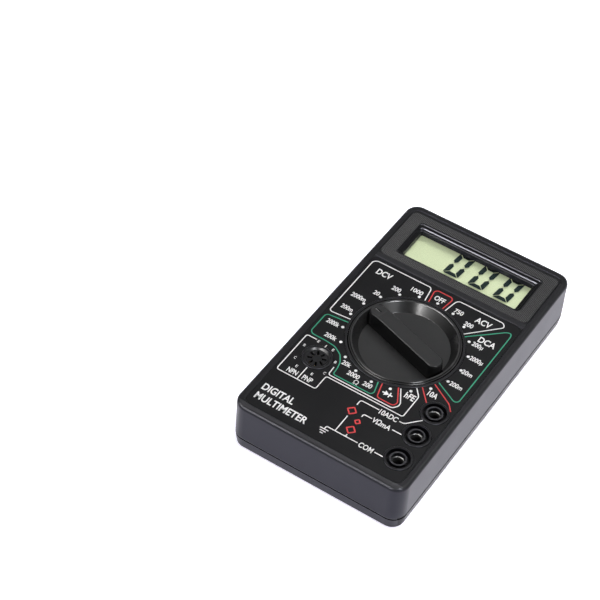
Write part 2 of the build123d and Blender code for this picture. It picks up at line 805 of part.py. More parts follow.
with BuildPart() as battery_cell:
    with BuildSketch(Plane.YZ.offset(battery_x_min + jacket_thickness)):
        with Locations((battery_y, battery_mid_z)):
            RectangleRounded(
                battery_width - 2 * jacket_thickness,
                battery_depth - 2 * jacket_thickness,
                battery_corner - jacket_thickness,
            )
    extrude(amount=battery_body_length - 2 * jacket_thickness)
battery_cell.part.label = "battery_cell"
export_step(battery_cell.part, "parts/battery_cell.step")

with BuildPart() as battery_jacket:
    with BuildSketch(Plane.YZ.offset(battery_x_min)):
        with Locations((battery_y, battery_mid_z)):
            RectangleRounded(battery_width, battery_depth, battery_corner)
            RectangleRounded(
                battery_width - 2 * jacket_thickness,
                battery_depth - 2 * jacket_thickness,
                battery_corner - jacket_thickness,
                mode=Mode.SUBTRACT,
            )
    extrude(amount=battery_body_length)
battery_jacket.part.label = "battery_jacket"
export_step(battery_jacket.part, "parts/battery_jacket.step")

# the round stud is positive, the wider six-sided cup negative
terminal_base_x = battery_end_x - jacket_thickness
with BuildPart() as battery_terminals:
    with BuildSketch(Plane.YZ.offset(terminal_base_x)):
        with Locations((terminal_ys["plus"], battery_mid_z)):
            Circle(plus_radius)
        with Locations((terminal_ys["minus"], battery_mid_z)):
            RegularPolygon(minus_radius, 6)
            Circle(minus_bore_radius, mode=Mode.SUBTRACT)
    extrude(amount=terminal_height)
battery_terminals.part.label = "battery_terminals"
export_step(battery_terminals.part, "parts/battery_terminals.step")

with BuildPart() as battery_snap:
    with BuildSketch(Plane.YZ.offset(snap_x)):
        with Locations((battery_y, battery_mid_z)):
            RectangleRounded(snap_width, snap_depth, snap_corner)
    extrude(amount=snap_thickness)
    with BuildSketch(Plane.YZ.offset(snap_x)):
        with Locations(*[(y, battery_mid_z) for y in terminal_ys.values()]):
            Circle(snap_pocket_radius)
    extrude(amount=snap_pocket_depth, mode=Mode.SUBTRACT)
    fillet(battery_snap.faces().sort_by(Axis.X)[-1].edges(), snap_rounding)
battery_snap.part.label = "battery_snap"
export_step(battery_snap.part, "parts/battery_snap.step")

# leads leave the snap's upper edge and climb to the board's component side
lead_radius = 0.6
lead_start_y = battery_y + snap_width / 2
lead_pads = {"red": (12.5, -27.0), "black": (15.5, -24.0)}
lead_start_zs = {"red": battery_mid_z + 1.5, "black": battery_mid_z - 1.5}
for colour, (pad_x, pad_y) in lead_pads.items():
    with BuildPart() as battery_lead:
        with BuildLine() as lead_path:
            Spline(
                (snap_x + snap_thickness / 2, lead_start_y, lead_start_zs[colour]),
                (snap_x + snap_thickness / 2 - 0.5, lead_start_y + 4.0, lead_start_zs[colour] - 1.0),
                (pad_x, pad_y, board_back_z - 3.0),
                (pad_x, pad_y, board_back_z),
                tangents=((0, 1, 0), (0, 0, 1)),
            )
        with BuildSketch(Plane(origin=lead_path.line @ 0, z_dir=lead_path.line % 0)):
            Circle(lead_radius)
        sweep()
    battery_lead.part.label = f"battery_lead_{colour}"
    export_step(battery_lead.part, f"parts/battery_lead_{colour}.step")

# ---------------------------------------------------------------- parts on the board's back
chip_y = 11.0
chip_radius = 8.5
chip_height = 1.7
dome_radius = (chip_radius**2 + chip_height**2) / (2 * chip_height)
dome_centre_z = board_back_z - chip_height + dome_radius
dome_angle = degrees(asin(chip_radius / dome_radius))

# the converter chip is bonded under a dome of black resin
with BuildPart() as converter_chip:
    with BuildSketch(Plane.XZ.offset(-chip_y)):
        with BuildLine():
            dome = CenterArc((0, dome_centre_z), dome_radius, -90, dome_angle)
            Line(dome @ 1, (0, board_back_z))
            Line((0, board_back_z), dome @ 0)
        make_face()
    revolve(axis=Axis((0, chip_y, 0), (0, 0, 1)))
converter_chip.part.label = "converter_chip"
export_step(converter_chip.part, "parts/converter_chip.step")

# axial resistors on two fields of the board, each with its bent leads
resistor_radius = 0.95
resistor_length = 6.0
resistor_span = 9.6
resistor_z = board_back_z - 1.5
resistor_lead = 0.25
resistor_pitch_x = 13.5
resistor_pitch_y = 3.6
resistor_fields = [((0, 48.0), 4, 3), ((-20.5, 12.0), 1, 6), ((20.5, 12.0), 1, 6)]

with BuildPart() as resistors:
    for centre, columns, rows in resistor_fields:
        with Locations((*centre, resistor_z)):
            with GridLocations(resistor_pitch_x, resistor_pitch_y, columns, rows):
                Cylinder(resistor_radius, resistor_length, rotation=(0, 90, 0))
                Cylinder(resistor_lead, resistor_span, rotation=(0, 90, 0))
                with Locations((-resistor_span / 2, 0), (resistor_span / 2, 0)):
                    Cylinder(
                        resistor_lead,
                        board_back_z - resistor_z,
                        align=(Align.CENTER, Align.CENTER, Align.MIN),
                    )
resistors.part.label = "resistors"
export_step(resistors.part, "parts/resistors.step")

film_spots = [(-12.0, -13.5), (-3.0, -15.5), (6.0, -15.5), (-9.0, -20.5)]
film_length = 7.0
film_thickness = 3.0
film_height = 6.5
film_rounding = 0.5
with BuildPart() as film_capacitors:
    with BuildSketch(Plane.XY.offset(board_back_z)):
        with Locations(*film_spots):
            Rectangle(film_length, film_thickness)
    extrude(amount=-film_height)
    fillet(film_capacitors.faces().sort_by(Axis.Z)[0:4].edges(), film_rounding)
film_capacitors.part.label = "film_capacitors"
export_step(film_capacitors.part, "parts/film_capacitors.step")

can_point = (17.0, -15.0)
can_radius = 2.5
can_height = 8.0
can_rounding = 0.4
with BuildPart() as electrolytic_capacitor:
    with BuildSketch(Plane.XY.offset(board_back_z)):
        with Locations(can_point):
            Circle(can_radius)
    extrude(amount=-can_height)
    fillet(electrolytic_capacitor.edges().sort_by(Axis.Z)[0], can_rounding)
electrolytic_capacitor.part.label = "electrolytic_capacitor"
export_step(electrolytic_capacitor.part, "parts/electrolytic_capacitor.step")

trimmer_point = (22.0, 33.0)
trimmer_radius = 3.2
trimmer_height = 3.5
trimmer_slot_length = 4.0
trimmer_slot_width = 0.8
trimmer_slot_depth = 1.2
with BuildPart() as calibration_trimmer:
    with BuildSketch(Plane.XY.offset(board_back_z)):
        with Locations(trimmer_point):
            Circle(trimmer_radius)
    extrude(amount=-trimmer_height)
    with BuildSketch(Plane.XY.offset(board_back_z - trimmer_height)):
        with Locations(trimmer_point):
            Rectangle(trimmer_slot_length, trimmer_slot_width)
            Rectangle(trimmer_slot_width, trimmer_slot_length)
    extrude(amount=trimmer_slot_depth, mode=Mode.SUBTRACT)
calibration_trimmer.part.label = "calibration_trimmer"
export_step(calibration_trimmer.part, "parts/calibration_trimmer.step")

diode_x = 9.5
diode_ys = (-21.5, -24.5)
diode_radius = 0.95
diode_length = 4.0
with BuildPart() as input_diodes:
    with Locations(*[(diode_x, y, board_back_z - 1.0) for y in diode_ys]):
        Cylinder(diode_radius, diode_length, rotation=(0, 90, 0))
input_diodes.part.label = "input_diodes"
export_step(input_diodes.part, "parts/input_diodes.step")

# ---------------------------------------------------------------- screws
board_head_radius = 2.3
board_head_height = 1.5
board_head_rounding = 0.6
board_shank_radius = 0.98
board_shank_length = board_thickness + 3.0
board_cross = (2.6, 0.6)
board_cross_depth = 0.8

with BuildPart() as board_screws:
    with BuildSketch(Plane.XY.offset(board_back_z)):
        with Locations(*board_screw_points):
            Circle(board_head_radius)
    extrude(amount=-board_head_height)
    fillet(board_screws.faces().sort_by(Axis.Z)[0:3].edges(), board_head_rounding)
    with BuildSketch(Plane.XY.offset(board_back_z)):
        with Locations(*board_screw_points):
            Circle(board_shank_radius)
    extrude(amount=board_shank_length)
    with BuildSketch(Plane.XY.offset(board_back_z - board_head_height)):
        with Locations(*board_screw_points):
            Rectangle(*board_cross)
            Rectangle(*board_cross[::-1])
    extrude(amount=board_cross_depth, mode=Mode.SUBTRACT)
board_screws.part.label = "board_screws"
export_step(board_screws.part, "parts/board_screws.step")

case_head_radius = 2.5
case_head_height = 1.8
case_head_rounding = 0.6
case_shank_radius = 1.3
case_shank_length = 9.0
case_cross = (3.0, 0.7)
case_cross_depth = 1.0

with BuildPart() as case_screws:
    with BuildSketch(Plane.XY.offset(case_screw_head_z)):
        with Locations(*case_screw_points):
            Circle(case_head_radius)
    extrude(amount=-case_head_height)
    fillet(case_screws.faces().sort_by(Axis.Z)[0:2].edges(), case_head_rounding)
    with BuildSketch(Plane.XY.offset(case_screw_head_z)):
        with Locations(*case_screw_points):
            Circle(case_shank_radius)
    extrude(amount=case_shank_length)
    with BuildSketch(Plane.XY.offset(case_screw_head_z - case_head_height)):
        with Locations(*case_screw_points):
            Rectangle(*case_cross)
            Rectangle(*case_cross[::-1])
    extrude(amount=case_cross_depth, mode=Mode.SUBTRACT)
case_screws.part.label = "case_screws"
export_step(case_screws.part, "parts/case_screws.step")
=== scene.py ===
import math

import bmesh
import bpy
import numpy as np
from mathutils import Matrix, Vector


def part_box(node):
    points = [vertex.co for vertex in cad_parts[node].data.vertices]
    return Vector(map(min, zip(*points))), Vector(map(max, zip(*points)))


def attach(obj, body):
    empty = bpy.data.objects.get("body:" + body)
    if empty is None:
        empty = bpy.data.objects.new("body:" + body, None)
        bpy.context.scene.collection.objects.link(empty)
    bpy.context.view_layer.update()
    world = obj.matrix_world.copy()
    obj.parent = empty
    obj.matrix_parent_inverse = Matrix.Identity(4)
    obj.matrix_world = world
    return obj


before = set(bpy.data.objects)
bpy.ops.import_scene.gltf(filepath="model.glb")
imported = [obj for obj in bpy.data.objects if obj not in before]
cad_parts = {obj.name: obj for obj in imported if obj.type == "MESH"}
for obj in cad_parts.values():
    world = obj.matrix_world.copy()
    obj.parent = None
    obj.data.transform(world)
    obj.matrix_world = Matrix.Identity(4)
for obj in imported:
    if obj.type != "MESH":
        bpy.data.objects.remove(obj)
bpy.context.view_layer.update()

MM = 0.001


# ------------------------------------------------------------------ places, from the frame
def plan_centre(node):
    """The middle of a CAD node's box seen from above, in millimetres."""
    low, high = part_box(node)
    return ((low + high) / 2 / MM).xy


LABEL_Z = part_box("face_label")[1].z / MM
GLASS_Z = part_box("lcd_glass")[1].z / MM
DIAL = plan_centre("selector_knob")
SOCKET = plan_centre("transistor_socket")
JACKS = [
    plan_centre(node) for node in ("input_jack_current", "input_jack_voltage", "input_jack_common")
]

# ------------------------------------------------------------------ materials
WHITE = (1.0, 1.0, 1.0)
MOTTLE_SCALE = 90.0
MOTTLE_GLOSS = (0.9, 1.15)
COAT_ROUGHNESS = 0.15
GRAIN_DEPTH = 0.00002
WORN_EDGE = (0.52, 0.62)
RELIEF_PAINTED_TONE = 2.2
LEVEL_FACE = (0.80, 0.97)
BOWL_TURN = -0.006
PAINTED_DIM_SHEEN_SHARE = 0.2
CREVICE_OPENNESS = (0.25, 0.80)
CREVICE_SAMPLES = 6
RIM_BORDER = 0.00005
RIM_REACH = 100.0
POLISH_SCALE = 700.0
POLISH_TONE = 0.8
POLISH_GLOSS = (0.7, 1.4)
SCRATCH_STRENGTH = 0.15
SCRATCH_DEPTH = 0.00003
SMUDGE_SCALE = 60.0
SMUDGE_SHEEN = (4, 8)
GLASS_ROUGHNESS = 0.08
GLASS_IOR = 1.45


def rgba(colour):
    """A colour with full opacity."""
    return (*colour, 1.0)


class Nodes:
    """A node tree with short calls for adding nodes and joining them."""

    def __init__(self, tree):
        self.tree = tree
        self.tree.nodes.clear()

    def add(self, kind, **values):
        node = self.tree.nodes.new(kind)
        for key, value in values.items():
            if key in node.inputs:
                node.inputs[key].default_value = value
            else:
                setattr(node, key, value)
        return node

    def join(self, source, target):
        self.tree.links.new(source, target)

    def noise(self, position, **values):
        """Cloudy noise between 0 and 1 at a position."""
        node = self.add("ShaderNodeTexNoise", **values)
        self.join(position, node.inputs["Vector"])
        return node.outputs["Fac"]

    def ramp(self, value, ends, results):
        """A value carried from one range to another and held at its ends."""
        node = self.add("ShaderNodeMapRange")
        node.inputs["From Min"].default_value, node.inputs["From Max"].default_value = ends
        node.inputs["To Min"].default_value, node.inputs["To Max"].default_value = results
        self.join(value, node.inputs["Value"])
        return node.outputs["Result"]

    def blend(self, factor, first, second):
        """A colour between two colours."""
        node = self.add("ShaderNodeMix", data_type="RGBA")
        self.join(factor, node.inputs["Factor"])
        for value, socket in ((first, node.inputs["A"]), (second, node.inputs["B"])):
            if isinstance(value, tuple):
                socket.default_value = rgba(value)
            else:
                self.join(value, socket)
        return node.outputs["Result"]

    def tone(self, colour, share):
        """A colour made that much darker or paler."""
        node = self.add("ShaderNodeMix", data_type="RGBA", blend_type="MULTIPLY")
        node.inputs["Factor"].default_value = 1.0
        if isinstance(colour, tuple):
            node.inputs["A"].default_value = rgba(colour)
        else:
            self.join(colour, node.inputs["A"])
        self.join(share, node.inputs["B"])
        return node.outputs["Result"]

    def product(self, first, second):
        """Two values multiplied; the second may be a plain number."""
        node = self.add("ShaderNodeMath", operation="MULTIPLY")
        self.join(first, node.inputs[0])
        if isinstance(second, float):
            node.inputs[1].default_value = second
        else:
            self.join(second, node.inputs[1])
        return node.outputs["Value"]

    def larger(self, first, second):
        """The larger of two values."""
        node = self.add("ShaderNodeMath", operation="MAXIMUM")
        self.join(first, node.inputs[0])
        self.join(second, node.inputs[1])
        return node.outputs["Value"]

    def axes(self, vector):
        """The X, Y and Z outputs of a vector."""
        node = self.add("ShaderNodeSeparateXYZ")
        self.join(vector, node.inputs["Vector"])
        return node.outputs

    def vector(self, operation, first, second=None):
        """A vector operation whose second vector is plain numbers."""
        node = self.add("ShaderNodeVectorMath", operation=operation)
        self.join(first, node.inputs[0])
        if second is not None:
            node.inputs[1].default_value = second
        return node.outputs["Vector"]

    def outside(self, position, centre, half_size):
        """How far a position lies outside a box, negative inside it."""
        distance = self.vector("ABSOLUTE", self.vector("SUBTRACT", position, centre))
        beyond = self.axes(self.vector("SUBTRACT", distance, half_size))
        return self.larger(self.larger(beyond["X"], beyond["Y"]), beyond["Z"])

    def bump(self, height, strength, distance):
        """A bump node over a height."""
        node = self.add("ShaderNodeBump", Strength=strength, Distance=distance)
        self.join(height, node.inputs["Height"])
        return node


def new_material(name):
    """A material, its nodes and the input of its surface."""
    material = bpy.data.materials.new(name)
    material.use_nodes = True
    n = Nodes(material.node_tree)
    return material, n, n.add("ShaderNodeOutputMaterial").inputs["Surface"]


def scaled(pair, factor):
    """Both values of a pair multiplied."""
    return tuple(factor * value for value in pair)


def bowl_painted_sheen(n, place, axis, specular):
    """Painted sheen: full reflection on faces turned towards an upright axis, a small share of it
    on the others.
    """
    outward = n.vector("SUBTRACT", place["Position"], (*axis, 0.0))
    turned = n.add("ShaderNodeVectorMath", operation="DOT_PRODUCT")
    n.join(n.vector("MULTIPLY", outward, (1.0, 1.0, 0.0)), turned.inputs[0])
    n.join(place["True Normal"], turned.inputs[1])
    return n.ramp(turned.outputs["Value"], (0.0, BOWL_TURN), (specular * PAINTED_DIM_SHEEN_SHARE, specular))


def soft_edges(n, position, edge_radius, soft_rim):
    """The normal of a surface whose edges are shaded as rounded."""
    edges = n.add("ShaderNodeBevel", Radius=edge_radius)
    if soft_rim:
        half_width, half_length, rim_radius = soft_rim
        size = Vector((half_width, half_length, RIM_REACH)) * MM
        outside = n.outside(position, Vector(), size)
        n.join(
            n.ramp(outside, (0.0, RIM_BORDER), (edge_radius, rim_radius * MM)),
            edges.inputs["Radius"],
        )
    return edges.outputs["Normal"]


def plastic(
    name,
    colour,
    roughness,
    grain=0.0,
    grain_scale=3000.0,
    mottle=0.08,
    wear=0.0,
    specular=0.5,
    coat=0.0,
    wall_tint=None,
    polished_walls_painted_shade=None,
    bowl=None,
    edge_radius=0.0,
    painted_crevice_shade=0.0,
    glow=0.0,
    painted_relief_heights=None,
    painted_light_and_shade_zones=(),
    soft_rim=None,
):
    """Moulded plastic: fine mould grain, faint mottling of tone and gloss, and paler worn edges.

    wall_tint: the colour of reflections in faces that stand upright
    polished_walls_painted_shade: how smooth those faces are, and how dark their tone is painted as
    shade, as a share of level ones
    bowl: the axis of a round bowl, x and y in metres; only faces turned to it keep the full sheen,
    the others get a dimmer painted sheen
    edge_radius: how far edges are shaded as rounded, in metres
    crevice: the width in metres below which gaps are painted dark, as painted shade in tone and
    sheen
    glow: how much light the surface gives back by itself, as painted light on a part that is no
    lamp
    heights: two heights in metres, dark at the first and pale at the second, as painted shade low
    down and painted light high up
    zones: boxes by low and high corner in millimetres, each with what its tone and its sheen are
    multiplied by, as painted light and shade, and the width of its soft border
    soft_rim: half the width and length of what lies inside the rim, and the radius in millimetres
        that edges outside it are rounded to
    """
    material, n, surface = new_material(name)
    shader = n.add("ShaderNodeBsdfPrincipled")
    shader.inputs["Specular IOR Level"].default_value = specular
    # Painted light: the surface gives off light though it is no lamp.
    if glow:
        shader.inputs["Emission Color"].default_value = rgba(colour)
        shader.inputs["Emission Strength"].default_value = glow
    shader.inputs["Coat Weight"].default_value = coat
    shader.inputs["Coat Roughness"].default_value = COAT_ROUGHNESS
    n.join(shader.outputs["BSDF"], surface)
    place = n.add("ShaderNodeNewGeometry").outputs
    mottling = n.noise(place["Position"], Scale=MOTTLE_SCALE, Detail=4.0, Roughness=0.6)
    tone = n.tone(colour, n.ramp(mottling, (0.0, 1.0), (1 - mottle, 1 + mottle)))
    gloss = n.ramp(mottling, (0.0, 1.0), scaled(MOTTLE_GLOSS, roughness))
    sheen = None
    if wear:
        worn = tuple(min(1.0, c * (1 + wear)) for c in colour)
        tone = n.blend(n.ramp(place["Pointiness"], WORN_EDGE, (0.0, 1.0)), tone, worn)
    # Painted shade low down and painted light high up on the relief.
    if painted_relief_heights:
        height = n.axes(place["Position"])["Z"]
        tone = n.tone(tone, n.ramp(height, painted_relief_heights, (0.0, RELIEF_PAINTED_TONE)))
    if wall_tint:
        facing = n.axes(place["True Normal"])["Z"]
        n.join(n.blend(facing, wall_tint, WHITE), shader.inputs["Specular Tint"])
    # Upright faces: a smoother finish, and a painted shade in their tone.
    if polished_walls_painted_shade:
        facing = n.axes(place["True Normal"])["Z"]
        level = n.ramp(facing, LEVEL_FACE, (polished_walls_painted_shade, 1.0))
        tone = n.tone(tone, level)
        gloss = n.product(gloss, level)
    # Painted sheen: faces turned away from the bowl's axis reflect less.
    if bowl:
        sheen = bowl_painted_sheen(n, place, bowl, specular)
    if painted_light_and_shade_zones and not sheen:
        full = n.add("ShaderNodeValue")
        full.outputs["Value"].default_value = specular
        sheen = full.outputs["Value"]
    # Painted light and shade: tone and sheen changed inside each box.
    for low, high, tone_share, sheen_share, border in painted_light_and_shade_zones:
        low, high = Vector(low) * MM, Vector(high) * MM
        outside = n.outside(place["Position"], (low + high) / 2, (high - low) / 2)
        depth = (0.0, -border * MM)
        tone = n.tone(tone, n.ramp(outside, depth, (1.0, tone_share)))
        sheen = n.product(sheen, n.ramp(outside, depth, (1.0, sheen_share)))
    # Painted shade: tone and sheen darkened where the surface is enclosed, as in gaps and grooves.
    if painted_crevice_shade:
        openness = n.add("ShaderNodeAmbientOcclusion", Distance=painted_crevice_shade, samples=CREVICE_SAMPLES)
        shade = n.ramp(openness.outputs["AO"], CREVICE_OPENNESS, (0.0, 1.0))
        tone = n.tone(tone, shade)
        sheen = n.product(shade, sheen or specular)
    if sheen:
        n.join(sheen, shader.inputs["Specular IOR Level"])
    n.join(tone, shader.inputs["Base Color"])
    n.join(gloss, shader.inputs["Roughness"])
    fine = n.noise(place["Position"], Scale=grain_scale, Detail=2.0)
    bump = n.bump(fine, grain, GRAIN_DEPTH)
    n.join(bump.outputs["Normal"], shader.inputs["Normal"])
    if edge_radius:
        n.join(soft_edges(n, place["Position"], edge_radius, soft_rim), bump.inputs["Normal"])
    return material


def ink(name, colour):
    """Screen-printed ink: slightly uneven in tone, satin."""
    return plastic(name, colour, 0.5, grain=0.15, grain_scale=4000.0, mottle=0.05)


def metal(name, colour, roughness):
    """Metal with fine scratches and uneven polish."""
    material, n, surface = new_material(name)
    shader = n.add("ShaderNodeBsdfPrincipled", Metallic=1.0)
    n.join(shader.outputs["BSDF"], surface)
    place = n.add("ShaderNodeNewGeometry").outputs
    polish = n.noise(place["Position"], Scale=POLISH_SCALE, Detail=5.0, Roughness=0.7)
    dark = tuple(c * POLISH_TONE for c in colour)
    n.join(n.blend(polish, dark, colour), shader.inputs["Base Color"])
    gloss = n.ramp(polish, (0.0, 1.0), scaled(POLISH_GLOSS, roughness))
    n.join(gloss, shader.inputs["Roughness"])
    bump = n.bump(polish, SCRATCH_STRENGTH, SCRATCH_DEPTH)
    n.join(bump.outputs["Normal"], shader.inputs["Normal"])
    return material


def clear_glass(name, tint, sheen):
    """Thin clear glass: see-through, with a faint reflection that grows at grazing angles."""
    material, n, surface = new_material(name)
    through = n.add("ShaderNodeBsdfTransparent", Color=rgba(tint))
    shine = n.add("ShaderNodeBsdfGlossy", Roughness=GLASS_ROUGHNESS)
    facing = n.add("ShaderNodeFresnel", IOR=GLASS_IOR)
    place = n.add("ShaderNodeNewGeometry").outputs
    smudge = n.noise(place["Position"], Scale=SMUDGE_SCALE, Detail=3.0)
    level = n.ramp(smudge, (0.0, 1.0), scaled(SMUDGE_SHEEN, sheen))
    mix = n.add("ShaderNodeMixShader")
    n.join(n.product(facing.outputs["Fac"], level), mix.inputs["Fac"])
    n.join(through.outputs["BSDF"], mix.inputs[1])
    n.join(shine.outputs["BSDF"], mix.inputs[2])
    n.join(mix.outputs["Shader"], surface)
    return material


WHITE_INK = ink("white_ink", (0.74, 0.74, 0.74))
RED_INK = ink("red_ink", (0.62, 0.02, 0.022))
POINTER = ink("pointer_paint", (0.10, 0.10, 0.10))
GREEN_INK = ink("green_ink", (0.010, 0.30, 0.165))

# What both halves of the case are moulded in. The roughness is chosen so that its mottling stays
# above 0.27: below that Cycles' denoiser treats a surface as a mirror, and the change leaves
# specks.
SHELL = {
    "colour": (0.0175, 0.0175, 0.019),
    "roughness": 0.305,
    "grain": 0.2,
    "wear": 0.6,
    "specular": 0.18,
    "wall_tint": (0.60, 0.60, 1.0),
    "edge_radius": 0.0002,
    # painted shade in the case's gaps, seam and grooves
    "painted_crevice_shade": 0.0009,
}
COLLAR_REACH = 3.2
# Zones of painted light and shade on the case, as plastic() takes them: low corner, high corner,
# tone, sheen, border.
# Painted reflection: the sheen of the front shell's top faces dimmed.
FACE_PAINTED_SHEEN_ZONE = ((-40, -70, 20.9), (40, 70, 23), 1.0, 0.55, 0.05)
# Painted shade in the window's recess, then painted highlights along its steps, the middle one
# strongest and the lowest dimmed.
WINDOW_PAINTED_LIGHT_ZONES = [
    ((-27.2, 35.0, 19.0), (27.2, 54.0, 22.3), 0.45, 1.0, 0.05),
    ((-27.2, 54.0, 22.05), (27.2, 54.5, 22.4), 1.0, 1.6, 0.05),
    ((-27.2, 52.58, 21.6), (27.2, 52.86, 22.15), 1.0, 3.6, 0.05),
    ((-27.2, 51.6, 21.3), (27.2, 52.0, 21.7), 1.0, 0.6, 0.05),
]
# Painted shade in the wells round the plug sockets.
JACK_WELL_PAINTED_SHADE_ZONE = ((15.0, -59.5, 19.5), (32.2, -17.0, 22.2), 0.5, 0.5, 0.05)
# Painted light: the tops of the tubes round the plug sockets made paler.
COLLAR_PAINTED_LIGHT_ZONES = [
    (
        (jack.x - COLLAR_REACH, jack.y - COLLAR_REACH, 22.2),
        (jack.x + COLLAR_REACH, jack.y + COLLAR_REACH, 22.4),
        1.8,
        1.0,
        0.05,
    )
    for jack in JACKS
]
# Painted light: the step between the label and the panel made paler.
PANEL_STEP_PAINTED_LIGHT_ZONE = ((-32.3, 28.7, 22.0), (32.3, 31.5, 23.0), 1.5, 1.0, 0.05)
# Painted highlight along the near lip: paler and glossier towards its middle.
NEAR_LIP_PAINTED_HIGHLIGHT_ZONE = ((-35.5, -61.9, 22.3), (35.5, -59.8, 22.7), 5.5, 2.0, 0.7)
# Painted shade on the right wall just above the seam.
SEAM_PAINTED_SHADE_ZONE = ((34.0, -62.0, 5.0), (37.0, 62.0, 6.15), 0.12, 0.08, 0.05)
# Painted shade: the rear shell's ledge at the seam made black.
REAR_SEAM_PAINTED_SHADE_ZONE = ((-35.45, -62.95, 5.05), (35.45, 62.95, 9), 0.05, 0.0, 0.03)
# Painted shade on the rear shell's right wall below the seam.
REAR_RIGHT_PAINTED_SHADE_ZONE = ((34.0, -61.0, -1.0), (36.5, 61.0, 5.3), 0.7, 0.3, 0.3)

CASE = plastic(
    "case_plastic",
    **SHELL,
    painted_light_and_shade_zones=[
        FACE_PAINTED_SHEEN_ZONE,
        *WINDOW_PAINTED_LIGHT_ZONES,
        JACK_WELL_PAINTED_SHADE_ZONE,
        *COLLAR_PAINTED_LIGHT_ZONES,
        PANEL_STEP_PAINTED_LIGHT_ZONE,
        NEAR_LIP_PAINTED_HIGHLIGHT_ZONE,
        SEAM_PAINTED_SHADE_ZONE,
    ],
    soft_rim=(32.3, 59.8, 0.8),
)
REAR = plastic("rear_case_plastic", **SHELL, painted_light_and_shade_zones=[REAR_SEAM_PAINTED_SHADE_ZONE, REAR_RIGHT_PAINTED_SHADE_ZONE])
# The panel's pyramids get painted shade in their hollows and painted light on their peaks.
PANEL = plastic(
    "textured_panel_plastic",
    (0.0225, 0.0225, 0.0245),
    0.5,
    specular=0.13,
    painted_relief_heights=(0.02237, 0.02262),
)
# The knob gets painted shade on its upright walls and in its gaps, and a dimmer painted sheen on
# faces turned away from its middle.
KNOB = plastic(
    "knob_plastic",
    (0.032, 0.032, 0.0325),
    0.5,
    grain=0.35,
    wear=0.5,
    specular=0.28,
    polished_walls_painted_shade=0.40,
    bowl=DIAL * MM,
    edge_radius=0.00015,
    painted_crevice_shade=0.001,
)
# The socket gets painted shade in its slots and gaps.
SOCKET_PLASTIC = plastic(
    "socket_plastic",
    (0.015, 0.015, 0.016),
    0.31,
    grain=0.3,
    specular=0.2,
    edge_radius=0.0002,
    painted_crevice_shade=0.001,
)
LABEL = plastic("label_film", (0.0062, 0.0062, 0.0070), 0.33, grain=0.1, specular=0.22)
SEGMENT = plastic("display_segment", (0.006, 0.016, 0.017), 0.4, mottle=0.15, specular=0.2)
# The reflector glows as painted light, which keeps the window's shadow on it faint.
REFLECTOR = plastic(
    "display_reflector", (0.42, 0.46, 0.315), 0.6, grain=0.2, mottle=0.02, glow=0.6
)
GLASS = clear_glass("display_glass", (0.985, 0.995, 0.97), 0.08)
FUSE_GLASS = clear_glass("fuse_glass", (0.97, 0.98, 0.98), 0.2)
NICKEL = metal("jack_nickel", (0.06, 0.06, 0.058), 0.45)
RIM = metal("jack_rim", (0.05, 0.05, 0.049), 0.4)
CONTACT = metal("contact_brass", (0.80, 0.58, 0.25), 0.3)
STEEL = metal("bright_steel", (0.60, 0.60, 0.62), 0.25)
SHUNT = metal("shunt_alloy", (0.55, 0.38, 0.26), 0.35)
BOARD = plastic("board_laminate", (0.03, 0.16, 0.06), 0.35, grain=0.2, coat=0.4)
RUBBER = plastic("strip_rubber", (0.45, 0.22, 0.22), 0.8, grain=0.4)
RESIN = plastic("chip_resin", (0.01, 0.01, 0.01), 0.25, grain=0.1)
SNAP = plastic("snap_plastic", (0.02, 0.02, 0.02), 0.5, grain=0.3)
JACKET = plastic("battery_jacket", (0.04, 0.04, 0.06), 0.3, grain=0.1, coat=0.5)
FILL = plastic("battery_fill", (0.15, 0.15, 0.15), 0.7, grain=0.3)
RED_LEAD = plastic("red_lead", (0.55, 0.03, 0.02), 0.45, grain=0.15)
BLACK_LEAD = plastic("black_lead", (0.02, 0.02, 0.02), 0.45, grain=0.15)
RESISTOR = plastic("resistor_lacquer", (0.16, 0.34, 0.48), 0.35, grain=0.2)
FILM = plastic("film_capacitor", (0.45, 0.13, 0.05), 0.35, grain=0.2, coat=0.3)
SLEEVE = plastic("capacitor_sleeve", (0.03, 0.04, 0.12), 0.3, grain=0.1)
TRIMMER = plastic("trimmer_plastic", (0.06, 0.14, 0.45), 0.4, grain=0.2)

FINISH = {
    "front_case": CASE,
    "rear_case": REAR,
    "face_label": LABEL,
    "lcd_glass": GLASS,
    "lcd_reflector": REFLECTOR,
    "zebra_strip": RUBBER,
    "circuit_board": BOARD,
    "switch_tracks": CONTACT,
    "selector_knob": KNOB,
    "knob_contacts": CONTACT,
    "detent_ball_a": STEEL,
    "detent_ball_b": STEEL,
    "detent_spring_a": STEEL,
    "detent_spring_b": STEEL,
    "transistor_socket": SOCKET_PLASTIC,
    "socket_contacts": CONTACT,
    "input_jack_current": NICKEL,
    "input_jack_voltage": NICKEL,
    "input_jack_common": NICKEL,
    "current_shunt": SHUNT,
    "fuse_tube": FUSE_GLASS,
    "fuse_caps": STEEL,
    "fuse_wire": STEEL,
    "fuse_clips": CONTACT,
    "battery_cell": FILL,
    "battery_jacket": JACKET,
    "battery_terminals": STEEL,
    "battery_snap": SNAP,
    "battery_lead_red": RED_LEAD,
    "battery_lead_black": BLACK_LEAD,
    "converter_chip": RESIN,
    "resistors": RESISTOR,
    "film_capacitors": FILM,
    "electrolytic_capacitor": SLEEVE,
    "calibration_trimmer": TRIMMER,
    "input_diodes": RESIN,
    "board_screws": STEEL,
    "case_screws": STEEL,
}
for node, material in FINISH.items():
    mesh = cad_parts[node].data
    mesh.materials.clear()
    mesh.materials.append(material)

